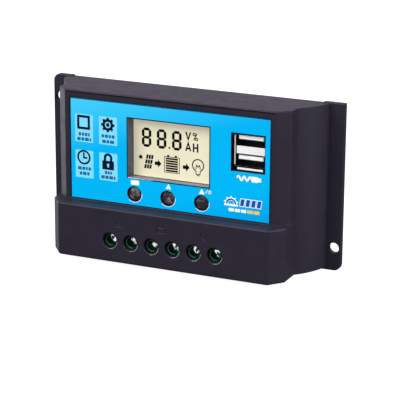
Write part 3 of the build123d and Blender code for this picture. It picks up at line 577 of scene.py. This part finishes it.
def icon_tiles():
    """Four pale upright tiles, two by two."""
    art = Art()
    for x in TILE_XS:
        for z in TILE_ZS:
            art.rectangle(x, z, *TILE, corner=0.35)
    art.piece("icon_tiles", LABEL_Y, "tile", "label_print")


def processor_icon(art, x, z):
    """Processor, drawn as a square frame."""
    side, line = 6.0, 1.05
    art.frame(x, z, side, side, line)


def cog_icon(art, x, z):
    """Cog with eight teeth, and a dot in its open middle."""
    teeth, radius, bore, dot = 8, 3.2, 0.42, 0.26
    tooth_points = ((-0.3, 0.78), (-0.19375, 0.98), (0.19375, 0.98), (0.3, 0.78))
    outer, inner = [], []
    for tooth in range(teeth):
        for along, reach in tooth_points:
            angle = 2 * math.pi * (tooth + along) / teeth + math.pi / 2
            outer.append(polar(x, z, radius * reach, angle))
            inner.append(polar(x, z, radius * bore, angle))
    art.band(outer, inner)
    art.disc(x, z, radius * dot, 24)


def clock_icon(art, x, z):
    """Round clock face with its hands at three o'clock."""
    art.ring(x, z, 2.75, 0.78)
    art.stroke([(x, z + 2.1), (x, z - 0.2), (x + 1.55, z - 0.2)], 0.75)


def padlock_icon(art, x, foot):
    """Closed padlock with a keyhole that narrows downwards."""
    width, height, shackle, shoulder, line = 5.4, 3.8, 1.45, 5.1, 1.05
    for side in (-shackle, shackle):
        art.stroke([(x + side, foot + height - 0.2), (x + side, foot + shoulder)], line)
    art.arc(x, foot + shoulder, shackle, 0, 180, line)
    keyhole = [(0.62, 2.6), (-0.62, 2.6), (-0.34, 1.0), (0.34, 1.0)]
    art.band(box_loop(x, foot + height / 2, width, height), moved(keyhole, x, foot))


def icons():
    """One icon on each tile."""
    left, right = TILE_XS
    upper, lower = TILE_ZS
    art = Art()
    processor_icon(art, left - 0.2, upper + 2.5)
    cog_icon(art, right - 0.1, upper + 2.55)
    clock_icon(art, left - 0.25, lower + 2.9)
    padlock_icon(art, right - 0.1, lower - 1.2)
    art.piece("icon_symbols", LABEL_Y - PRINT, "navy", "label_print")


def caption_bars():
    """Two short rows of dashes under each icon, where the real label has words."""
    height, gap = 1.35, 0.35
    art = Art()
    for (column, row), lines in CAPTIONS.items():
        for drop, dashes in lines:
            x = TILE_XS[column] - (sum(dashes) + gap * (len(dashes) - 1)) / 2
            for dash in dashes:
                art.rectangle(x + dash / 2, TILE_ZS[row] - drop, dash, height, corner=0.25)
                x += dash + gap
    art.piece("icon_caption_bars", LABEL_Y - PRINT, "caption", "label_print")


def button_legends():
    """White marks above the buttons: a screen, an up arrow, and an arrow with a power mark."""
    half, height = 1.25, 2.15
    power_x, power_z, line = 19.0, -0.7, 0.28
    art = Art()
    art.rectangle(-14.9, -0.75, 3.7, 1.9, corner=0.2)
    for x, foot in ((0.35, -1.6), (15.4, -1.8)):
        art.polygon([(x - half, foot), (x + half, foot), (x, foot + height)])
    art.stroke([(17.2, -1.3), (17.9, 0.1)], 0.3)
    art.arc(power_x, power_z, 0.55, 125, 415, line, 14)
    art.stroke([(power_x, power_z + 0.85), (power_x, power_z + 0.1)], line)
    art.piece("button_legends", LABEL_Y, "white", "label_print")


def socket_legend():
    """White plug with its wavy lead, under the double socket."""
    z = 7.0
    start, length, height, waves, steps = 30.9, 6.2, 0.85, 2.5, 24
    parts = [i / steps for i in range(steps + 1)]
    lead = [(start + length * t, z + height * math.sin(waves * 2 * math.pi * t)) for t in parts]
    art = Art()
    art.rectangle(38.6, z, 2.9, 2.3, corner=0.35)
    art.rectangle(40.7, z, 1.3, 1.6)
    art.stroke(lead, 0.75)
    art.piece("socket_legend", LABEL_Y, "white", "label_print")


def maker_mark():
    """Generic mark in place of the maker's: a rising sun and leaning panels over a dashed bar."""
    white, blue, yellow = Art(), Art(), Art()
    sun_x, base, bar_z = 28.4, -5.2, -6.75
    sun_z = base + 0.9
    for art, radius, line in ((white, 2.05, 1.3), (blue, 1.95, 0.7)):
        art.arc(sun_x, sun_z, radius, 0, 180, line)
    for ray in range(5):
        angle = math.radians(18 + 36 * ray)
        white.stroke([polar(sun_x, sun_z, radius, angle) for radius in (2.75, 3.3)], 0.45)
    white.rectangle(sun_x, base + 0.45, 6.0, 0.8, corner=0.2)
    panel_points = ((-0.95, -1.45), (0.65, -1.45), (1.15, 1.45), (-0.45, 1.45))
    for art, grow in ((white, 0.28), (blue, 0.0)):
        points = [(a + math.copysign(grow, a), b + math.copysign(grow, b)) for a, b in panel_points]
        for panel in range(4):
            art.polygon(moved(points, 33.2 + 2.45 * panel, base + 2.0))
    for dash in range(3):
        white.rectangle(28.5 + 2.7 * dash, bar_z, 2.3, 1.3, corner=0.3)
    for dash in range(2):
        yellow.rectangle(36.75 + 2.85 * dash, bar_z, 2.5, 1.3, corner=0.3)
    white.piece("mark_outline", LABEL_Y, "white", "label_print")
    blue.piece("mark_fill", LABEL_Y - PRINT, "royal", "label_print")
    yellow.piece("mark_bar", LABEL_Y, "yellow", "label_print")


def cut_edge_highlights():
    """Pale cut edges of the overlay, drawn only at the lower right of each button hole: the pale edge is
    real, its brightness there is a painted highlight.
    """
    art = Art()
    for x, z in BUTTON_PLACES:
        # painted highlight: only the lit part of each cut edge is drawn
        art.arc(x, z, BUTTON_HOLE_R + 0.08, -135, 10, 0.2, 24)
    art.piece("label_cut_edge_highlights", LABEL_Y, "white", "label_print", THIN)


def painted_gap_shadows():
    """Painted shadow: thin black lines in the gaps round the display window and along the edge of the
    overlay.
    """
    window_shadow_width, edge_shadow_width = 0.45, 0.24
    width, height = LCD_WINDOW
    size = label_high - label_low
    art = Art()
    art.frame(LCD_X, LCD_Z, width + 2 * window_shadow_width, height + 2 * window_shadow_width, window_shadow_width)
    art.frame(LABEL_X, LABEL_Z, size.x, size.z, edge_shadow_width)
    art.piece("painted_gap_shadows", LABEL_Y, "shade_line", "label_print", THIN)


def window_glint():
    """Painted highlight: a white strip on the cut edge of the overlay at the lower left of the display
    window, where it catches the light.
    """
    x, z = LCD_X - LCD_WINDOW[0] / 2, LCD_Z - LCD_WINDOW[1] / 2 - 0.12
    length, half_start, half_end = 11.5, 0.12, 0.04
    art = Art()
    art.polygon(
        [(x, z - half_start), (x + length, z - half_end), (x + length, z + half_end), (x, z + half_start)]
    )
    art.piece("window_glint", LABEL_Y - THIN, "white", "label_print", THIN)


# ---- painted edge shade, painted window walls, collars, painted rim and socket highlights -----
def edge_shade_line():
    """Painted shade: a dark line along the upper edge of the display section."""
    length, height, drop = 93.8, 0.5, 0.8
    art = Art()
    art.rectangle(0, case_high.z - drop, length, height)
    art.piece("edge_shade_line", FRONT_Y, "shade_line", "case_plastic", THIN)


def painted_window_walls():
    """Plates over the walls of the display window, with painted light and shade: grey side walls and a paler
    lower wall, lighter than the case where light falls on them, a black line of painted shade, and a cream
    strip next to the film.
    """
    skin = 0.06
    width, height = LCD_WINDOW
    left, right = LCD_X - width / 2, LCD_X + width / 2
    low, high = LCD_Z - height / 2, LCD_Z + height / 2
    front, back = LABEL_Y + 0.3, FILM_Y - 0.05
    shade_line_front = front + 0.58 * (back - front)
    shade_line_back = front + 0.80 * (back - front)
    # painted light on the walls; the lower wall, facing up, is painted palest
    plate("window_left_wall_painted_light", (left, left + skin), (front, back), (low, high), "window_side_lit")
    plate("window_right_wall_painted_light", (right - skin, right), (front, back), (low, high), "window_side_lit")
    for name, depth, material in (
        ("window_lower_wall_painted_light", (front, shade_line_front), "window_lower_lit"),
        ("window_painted_shade_line", (shade_line_front, shade_line_back), "shade_line"),
        ("window_lining_film_side", (shade_line_back, back), "lining_cream"),
    ):
        plate(name, (left + skin, right - skin), depth, (low, low + skin), material)


def recess_collars():
    """Moulded collars of the terminal block, which stand in the screw holes of the case."""
    art = Art()
    for x, z in POLE_PLACES:
        art.ring(x, z, (COLLAR_BORE_R + COLLAR_R) / 2, COLLAR_R - COLLAR_BORE_R, 64)
    depth = block_low.y - COLLAR_Y
    art.piece("recess_collars", block_low.y, "terminal_shaded", "terminal_green", depth)


def rim_highlights():
    """Painted highlights on the rims of the screw recesses: pale green arcs on the collars, pale grey arcs
    on the case, where the rims catch the light.
    """
    green, grey = Art(), Art()
    for x, z in POLE_PLACES:
        green.arc(x, z, COLLAR_BORE_R + 0.1, 88, 285, 0.16, 32)
        grey.arc(x, z, SCREW_HOLE_R + 0.3, -95, -5, 0.22, 20)
    green.piece("rim_highlights", COLLAR_Y, "rim_green_highlight", "terminal_green", 0.04)
    grey.piece("hole_rim_highlights", case_low.y + 0.02, "rim_grey_highlight", "case_plastic", 0.02)


def socket_front_highlights():
    """Painted highlights on the front of the double socket: white plates on its web and lip, and a pale
    strip on the edge of its left wall, where the metal catches the light.
    """
    left, right, foot = shell_low.x, shell_high.x, shell_low.z
    depth = (SHELL_Y - 0.12, SHELL_Y)
    for name, x, z, material in (
        ("socket_web", (left + 0.95, right - 0.1), (foot + 6.65, foot + 9.85), "socket_painted_highlight"),
        ("socket_lip", (left + 1.25, right - 0.85), (foot, foot + 0.85), "socket_painted_highlight"),
        ("socket_left_edge", (left - 0.1, left + 0.42), (foot + 2.0, foot + 14.2), "socket_edge_highlight"),
    ):
        plate(name, x, depth, z, material)


def socket_gap_shade():
    """Painted shade: a black band that fills the gap between the socket and the window of the case."""
    outside, inside, setback, thickness = 1.6, 0.05, 1.0, 0.5
    size = shell_high - shell_low
    art = Art()
    art.band(
        box_loop(SHELL_X, SHELL_Z, size.x + 2 * outside, size.z + 2 * outside),
        box_loop(SHELL_X, SHELL_Z, size.x + 2 * inside, size.z + 2 * inside),
    )
    art.piece("socket_gap_shade", SHELL_Y + setback, "gap_shade", "case_plastic", thickness)


# ---- display segments -------------------------------------------------------------------------
DIGIT = (4.35, 8.2)  # width and height
SEGMENT = 1.2
FILM_SHIFT = (-0.45, -0.3)  # moves the drawn figures and symbols to their place on the film


def segment_bar(start, end, level):
    """Pointed bar from start to end in its first coordinate, centred on level in its second."""
    half = SEGMENT / 2
    return [
        (start, level),
        (start + half, level + half),
        (end - half, level + half),
        (end, level),
        (end - half, level - half),
        (start + half, level - half),
    ]


def digit_eight(art, left, bottom):
    """Seven-segment figure eight with pointed segment ends and thin gaps."""
    width, height = DIGIT
    half, gap = SEGMENT / 2, 0.06
    sides = (left + half, left + width - half)
    levels = (bottom + half, bottom + height / 2, bottom + height - half)
    for z in levels:
        art.polygon(segment_bar(sides[0] + gap, sides[1] - gap, z))
    for x in sides:
        for low, high in zip(levels, levels[1:]):
            art.polygon([(across, up) for up, across in segment_bar(low + gap, high - gap, x)])


def unit_signs(art):
    """Volt and per cent signs over the signs for ampere and hour."""
    line, fine = 0.68, 0.42
    volt = [(6.1, 22.2), (7.1, 19.1), (8.1, 22.2)]
    ampere, ampere_bar = [(6.1, 14.2), (7.15, 17.7), (8.2, 14.2)], [(6.45, 15.25), (7.75, 15.25)]
    hour_sides, hour_foot, hour_middle, hour_top = (9.55, 11.35), 14.0, 15.85, 17.7
    art.stroke(volt, line)
    art.stroke([(9.55, 19.0), (11.05, 22.0)], fine)
    for x, z in ((9.75, 21.5), (10.85, 19.5)):
        art.ring(x, z, 0.52, 0.4, 20)
    art.stroke(ampere, line)
    art.stroke(ampere_bar, line)
    for x in hour_sides:
        art.stroke([(x, hour_foot), (x, hour_top)], line)
    art.stroke([(x, hour_middle) for x in hour_sides], line)


def display_figures():
    """Three figures with a point, and the units beside them."""
    art = Art()
    for left in (-13.95, -7.1, -0.2):
        digit_eight(art, left, 13.85)
    art.rectangle(-1.35, 14.6, 0.75, 0.75)
    unit_signs(art)
    art.piece("display_figures", FILM_Y, "segment", "lcd_film", shift=FILM_SHIFT)


def sun_symbol(art, x, z):
    """Small sun with eight short rays."""
    rays = 8
    art.disc(x, z, 0.78, 20)
    for ray in range(rays):
        angle = 2 * math.pi * ray / rays
        art.stroke([polar(x, z, radius, angle) for radius in (0.95, 1.15)], 0.2)


def panel_symbol(art, x, z):
    """Panel of three by three cells that leans to the right."""
    lean, pitch_x, pitch_z = 0.2, 1.15, 2.1
    cell = [(a + lean * b, b) for a, b in box_loop(0, 0, 0.92, 1.76)]
    for row in (1, 0, -1):
        for column in (-1, 0, 1):
            up = pitch_z * row
            art.polygon(moved(cell, x + pitch_x * column + lean * up, z + up))


def arrow(art, x, z):
    """Block arrow that points to the right; x is where its head starts."""
    half, length, head_half, head_length = 0.75, 1.45, 1.75, 1.6
    art.polygon([(x - length, z + half), (x - length, z - half), (x, z - half), (x, z + half)])
    art.polygon([(x, z + head_half), (x, z - head_half), (x + head_length, z)])


def battery_symbol(art, x, z):
    """Battery with six charge bars and two poles."""
    art.frame(x, z, 7.0, 6.9, 0.28)
    for bar in range(6):
        art.rectangle(x - 0.05, z - 2.55 + 1.02 * bar, 5.5, 0.74)
    for pole in (-1.7, 1.8):
        art.rectangle(x + pole, z + 3.75, 1.0, 0.8, corner=0.15)


def lamp_symbol(art, x, z):
    """Round bulb with a filament and a narrow base."""
    neck = [(-0.95, -2.4), (-0.9, -3.75), (0.9, -3.75), (0.95, -2.4)]
    foot = [(-0.6, -4.3), (0.6, -4.3)]
    filament = [(-1.0, -1.6), (-0.7, 0.1), (0.0, -0.7), (0.7, 0.1), (1.0, -1.6)]
    art.arc(x, z, 2.5, -67, 247, 0.48, 40)
    for points, line in ((neck, 0.36), (foot, 0.4), (filament, 0.36)):
        art.stroke(moved(points, x, z), line)


def display_symbols():
    """Sun, leaning panel, battery, lamp, and the arrows between them."""
    art = Art()
    sun_symbol(art, -14.5, 9.3)
    panel_symbol(art, -10.75, 7.65)
    arrow(art, -6.6, 7.35)
    arrow(art, 6.2, 7.2)
    battery_symbol(art, -0.2, 7.4)
    lamp_symbol(art, 11.6, 8.6)
    art.piece("display_symbols", FILM_Y, "segment", "lcd_film", shift=FILM_SHIFT)


# ---- floor, light and camera ------------------------------------------------------------------
def studio_floor():
    """Large pale floor just under the object, bright enough to melt into the background."""
    half_size, gap = 6.0, 0.0001
    mesh = bpy.data.meshes.new("studio_floor")
    bm = bmesh.new()
    bmesh.ops.create_grid(bm, x_segments=8, y_segments=8, size=half_size)
    bm.to_mesh(mesh)
    bm.free()
    s = Shader("studio_floor_pale", (0.30, 0.30, 0.305), 0.8, specular=0.1)
    s.tint(s.noise(900.0, 1.0), (0.295, 0.295, 0.30), (0.305, 0.305, 0.31))
    s.glow((1, 1, 1), 0.93)
    mesh.materials.append(s.material)
    floor = bpy.data.objects.new("studio_floor", mesh)
    floor.location = (0, 0, cad_low.z - gap)
    floor.visible_glossy = False
    floor.visible_diffuse = False
    bpy.context.scene.collection.objects.link(floor)


def softbox(name, place, size, power, color=(1.0, 1.0, 1.0)):
    """Rectangular area light at a place in metres, turned towards the middle of the object."""
    aim = Vector((0, -0.02, 0))
    data = bpy.data.lights.new(name, "AREA")
    data.shape = "RECTANGLE"
    data.size, data.size_y = size
    data.energy = power
    data.color = color
    light = bpy.data.objects.new(name, data)
    light.location = place
    light.rotation_euler = (aim - Vector(place)).to_track_quat("-Z", "Y").to_euler()
    light.visible_camera = False
    bpy.context.scene.collection.objects.link(light)


def studio_light():
    """Soft key from the front left, panels behind and at the left for the edges, weak fill."""
    softbox("key_light", (-0.55, -0.95, 0.75), (0.8, 0.6), 19.4)
    softbox("top_light", (0.0, -0.1, 1.2), (0.9, 0.7), 5.5)
    softbox("back_panel", (-0.5, 1.1, 0.40), (1.5, 0.7), 2.35, (0.94, 0.84, 1.0))
    softbox("left_panel", (-1.1, 0.25, 0.0), (0.7, 0.7), 4.0, (0.95, 0.86, 1.0))
    softbox("right_fill", (1.15, 0.0, 0.35), (0.6, 0.6), 12.5, (0.97, 0.95, 1.0))
    softbox("front_fill", (0.55, -1.0, 0.5), (0.4, 0.4), 3.5)


def studio_world():
    """White behind the object, and a weak cool light from all round on it."""
    world = bpy.data.worlds.new("studio_world")
    world.use_nodes = True
    tree = world.node_tree
    seen = tree.nodes["Background"]
    seen.inputs["Color"].default_value = (1.0, 1.0, 1.0, 1)
    seen.inputs["Strength"].default_value = 1.0
    ambient = tree.nodes.new("ShaderNodeBackground")
    ambient.inputs["Color"].default_value = (0.92, 0.95, 1.0, 1)
    ambient.inputs["Strength"].default_value = 0.17
    path = tree.nodes.new("ShaderNodeLightPath")
    mix = tree.nodes.new("ShaderNodeMixShader")
    tree.links.new(path.outputs["Is Camera Ray"], mix.inputs["Fac"])
    tree.links.new(ambient.outputs[0], mix.inputs[1])
    tree.links.new(seen.outputs[0], mix.inputs[2])
    tree.links.new(mix.outputs[0], tree.nodes["World Output"].inputs["Surface"])
    bpy.context.scene.world = world
    bpy.context.scene.view_settings.view_transform = "Standard"


def main_camera():
    """Long lens from the front right, a little above the object."""
    yaw, pitch, roll = (math.radians(degrees) for degrees in (24.32, 16.485, 0.352))
    aim = Vector((9.228, -16.031, -8.318)) * MM
    distance = 0.71102
    forward = Vector((-math.sin(yaw) * math.cos(pitch), math.cos(yaw) * math.cos(pitch), -math.sin(pitch)))
    turn = forward.to_track_quat("-Z", "Y").to_matrix().to_4x4()
    data = bpy.data.cameras.new("main_camera")
    data.sensor_width = 36.0
    data.lens = 154.215
    data.clip_start = 0.01
    camera = bpy.data.objects.new("main_camera", data)
    camera.matrix_world = Matrix.Translation(aim - forward * distance) @ turn @ Matrix.Rotation(roll, 4, "Z")
    bpy.context.scene.collection.objects.link(camera)
    bpy.context.scene.camera = camera


icon_tiles()
icons()
caption_bars()
button_legends()
socket_legend()
maker_mark()
cut_edge_highlights()
painted_gap_shadows()
window_glint()
edge_shade_line()
painted_window_walls()
recess_collars()
rim_highlights()
socket_front_highlights()
socket_gap_shade()
display_figures()
display_symbols()
studio_floor()
studio_light()
studio_world()
main_camera()
